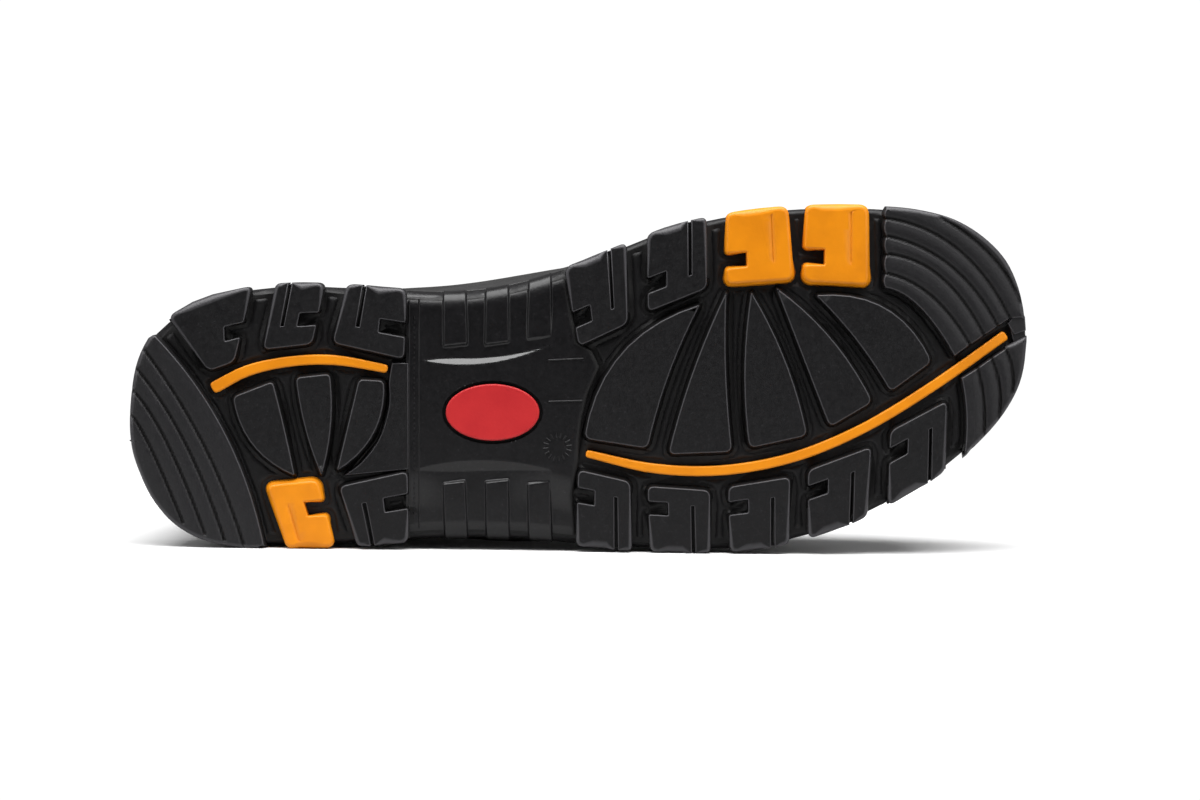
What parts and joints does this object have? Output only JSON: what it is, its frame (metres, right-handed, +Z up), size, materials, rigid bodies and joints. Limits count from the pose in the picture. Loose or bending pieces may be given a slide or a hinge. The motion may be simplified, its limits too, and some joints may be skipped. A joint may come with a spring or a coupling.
{
  "type": "work boot",
  "caption": "Left ankle work boot lying on its outer side: black lugged rubber sole with orange grip lugs and strips, a red oval badge in the arch and a hollow leather upper.",
  "frame": {"origin": "middle of the bounding box on the floor the boot lies on", "axes": "+X from the heel to the toe along the floor, +Y from the tread towards the collar, +Z up, towards the inner side of the foot"},
  "size_m": [0.3058, 0.1594, 0.1193],
  "materials": {
    "sole_rubber": "matte black moulded rubber with a fine grain",
    "upper_leather": "dark grey smooth leather, semi-matte",
    "insole_felt": "grey felt",
    "grip_orange": "orange thermoplastic rubber, satin",
    "badge_red": "red thermoplastic, satin gloss"
  },
  "bodies": {
    "root": {"outsole": "sole_rubber", "upper": "upper_leather", "insole": "insole_felt", "forefoot_strip": "grip_orange", "heel_strip": "grip_orange", "grip_lug_heel": "grip_orange", "grip_lug_ball": "grip_orange", "grip_lug_toe": "grip_orange", "arch_badge": "badge_red"}
  },
  "joints": []
}
